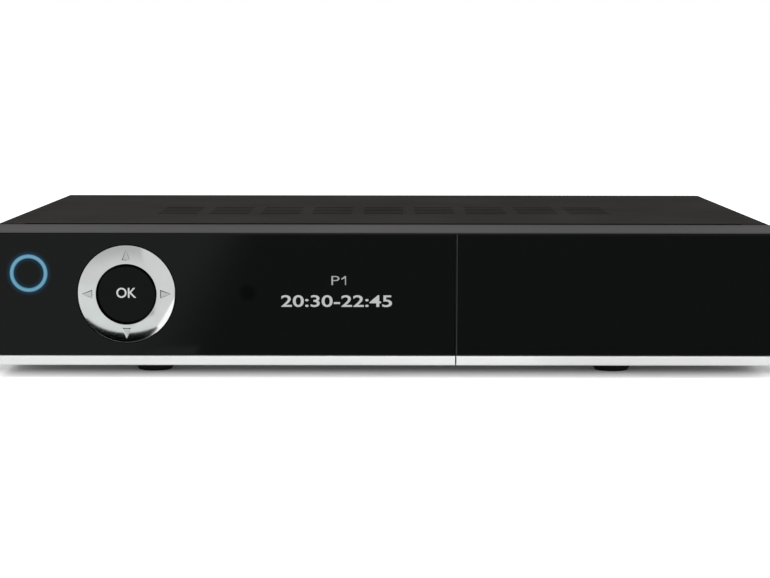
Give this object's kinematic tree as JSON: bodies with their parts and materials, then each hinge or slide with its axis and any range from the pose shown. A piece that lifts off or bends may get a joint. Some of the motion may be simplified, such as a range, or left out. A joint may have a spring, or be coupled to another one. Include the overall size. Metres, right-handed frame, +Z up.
{
  "type": "satellite television receiver",
  "caption": "Compact satellite television receiver with a glossy black front, a round four-way key ring, a drop-down flap, a display, a matt steel cover and rear sockets.",
  "frame": {"origin": "on the resting plane, under the middle of the receiver's outline", "axes": "+X to the right of someone who faces the front, +Y towards the rear, +Z up"},
  "size_m": [0.2836, 0.19, 0.056],
  "materials": {
    "cover_paint": "fine-grained matt black paint",
    "pan_steel": "zinc-coated sheet",
    "foot_rubber": "matt",
    "screw_black": "black passivated",
    "bezel_grey": "fine-grained dark grey",
    "front_gloss": "polished black",
    "bright_strip": "satin silver-white",
    "inner_black": "satin",
    "ring_silver": "silver-plated, satin gloss",
    "light_ring_blue": "clear light guide, lit blue",
    "bright_steel": "tin-plated",
    "magnet_ferrite": "sintered",
    "plunger_plastic": "satin",
    "board_green": "solder resist",
    "socket_black": "satin",
    "window_dark": "infrared-clear",
    "display_glass": "dark filter glass",
    "socket_pale": "satin",
    "cable_grey": "flat cable",
    "nickel": "nickel-plated",
    "chip_black": "moulded package",
    "sink_aluminium": "extruded",
    "capacitor_sleeve": "sleeved can",
    "pin_brass": "plated",
    "core_ferrite": "sintered",
    "winding_tape": "polyester tape",
    "filter_blue": "moulded box"
  },
  "bodies": {
    "housing": {"aerial_nuts": "nickel", "aerial_sockets": "nickel", "board_cables": "cable_grey", "board_screws": "bright_steel", "board_sockets": "socket_pale", "capacitors": "capacitor_sleeve", "card_reader": "socket_black", "case_screws": "screw_black", "chassis_pan": "pan_steel", "chips_and_leds": "chip_black", "ci_cage": "bright_steel", "coax_socket": "socket_black", "display_module": "display_glass", "fascia": "front_gloss", "fascia_strip": "bright_strip", "feet": "foot_rubber", "front_bezel": "bezel_grey", "hdmi_socket": "bright_steel", "heatsinks": "sink_aluminium", "ir_receiver": "socket_black", "ir_window": "window_dark", "key_board": "board_green", "lan_socket": "socket_black", "latch_magnet": "magnet_ferrite", "main_board": "board_green", "mains_filter": "filter_blue", "mains_inlet": "socket_black", "mains_switch": "socket_black", "mains_terminals": "pin_brass", "ok_guide": "inner_black", "optical_socket": "socket_black", "power_board": "board_green", "power_light_ring": "light_ring_blue", "slot_panel": "inner_black", "socket_inserts": "socket_pale", "standoffs": "bright_steel", "tact_switches": "socket_black", "top_cover": "cover_paint", "transformer": "core_ferrite", "transformer_winding": "winding_tape", "tuner_can": "bright_steel", "usb_sockets": "bright_steel"},
    "flap": {"flap_skin": "front_gloss", "flap_strip": "bright_strip", "flap_frame": "inner_black", "hinge_pins": "bright_steel", "strike_plate": "bright_steel"},
    "power_key": {"power_button": "front_gloss", "power_plunger": "plunger_plastic"},
    "gimbal": {"nav_gimbal": "inner_black"},
    "nav_key": {"nav_ring": "ring_silver"},
    "ok_key": {"ok_button": "front_gloss", "ok_plunger": "plunger_plastic"},
    "plunger_up": {"nav_plunger_up": "plunger_plastic"},
    "plunger_down": {"nav_plunger_down": "plunger_plastic"},
    "plunger_left": {"nav_plunger_left": "plunger_plastic"},
    "plunger_right": {"nav_plunger_right": "plunger_plastic"},
    "eject_key": {"ci_eject_button": "inner_black"},
    "shutter": {"optical_shutter": "socket_black"},
    "rocker": {"mains_rocker": "socket_black"}
  },
  "joints": [
    {"name": "flap_hinge", "type": "hinge", "parent": "housing", "child": "flap", "pos_m": [0, -0.0899, 0.0068], "axis": [1, 0, 0], "range_deg": [0, 90]},
    {"name": "power_press", "type": "slide", "parent": "housing", "child": "power_key", "axis": [0, 1, 0], "range_m": [0, 0.0008], "stiffness_N_per_m": 1500},
    {"name": "ok_press", "type": "slide", "parent": "housing", "child": "ok_key", "axis": [0, 1, 0], "range_m": [0, 0.0008], "stiffness_N_per_m": 1500},
    {"name": "nav_tilt_x", "type": "hinge", "parent": "housing", "child": "gimbal", "pos_m": [-0.093, -0.0886, 0.0307], "axis": [1, 0, 0], "range_deg": [-2.2, 2.2], "stiffness_Nm_per_rad": 0.5},
    {"name": "nav_tilt_z", "type": "hinge", "parent": "gimbal", "child": "nav_key", "pos_m": [-0.093, -0.0886, 0.0307], "axis": [0, 0, 1], "range_deg": [-2.2, 2.2], "stiffness_Nm_per_rad": 0.5},
    {"name": "plunger_up_slide", "type": "slide", "parent": "housing", "child": "plunger_up", "axis": [0, 1, 0], "range_m": [-0.0005, 0.0005]},
    {"name": "plunger_down_slide", "type": "slide", "parent": "housing", "child": "plunger_down", "axis": [0, 1, 0], "range_m": [-0.0005, 0.0005]},
    {"name": "plunger_left_slide", "type": "slide", "parent": "housing", "child": "plunger_left", "axis": [0, 1, 0], "range_m": [-0.0005, 0.0005]},
    {"name": "plunger_right_slide", "type": "slide", "parent": "housing", "child": "plunger_right", "axis": [0, 1, 0], "range_m": [-0.0005, 0.0005]},
    {"name": "eject_slide", "type": "slide", "parent": "housing", "child": "eject_key", "axis": [0, 1, 0], "range_m": [0, 0.0032]},
    {"name": "shutter_hinge", "type": "hinge", "parent": "housing", "child": "shutter", "pos_m": [-0.048, 0.0819, 0.0208], "axis": [-1, 0, 0], "range_deg": [0, 78], "stiffness_Nm_per_rad": 0.001},
    {"name": "rocker_hinge", "type": "hinge", "parent": "housing", "child": "rocker", "pos_m": [-0.092, 0.0834, 0.024], "axis": [-1, 0, 0], "range_deg": [0, 20]}
  ],
  "couplings": [
    {"joint": "plunger_up_slide", "follows": "nav_tilt_x", "m_per_rad": -0.01245},
    {"joint": "plunger_down_slide", "follows": "nav_tilt_x", "m_per_rad": 0.01245},
    {"joint": "plunger_right_slide", "follows": "nav_tilt_z", "m_per_rad": 0.01245},
    {"joint": "plunger_left_slide", "follows": "nav_tilt_z", "m_per_rad": -0.01245}
  ]
}
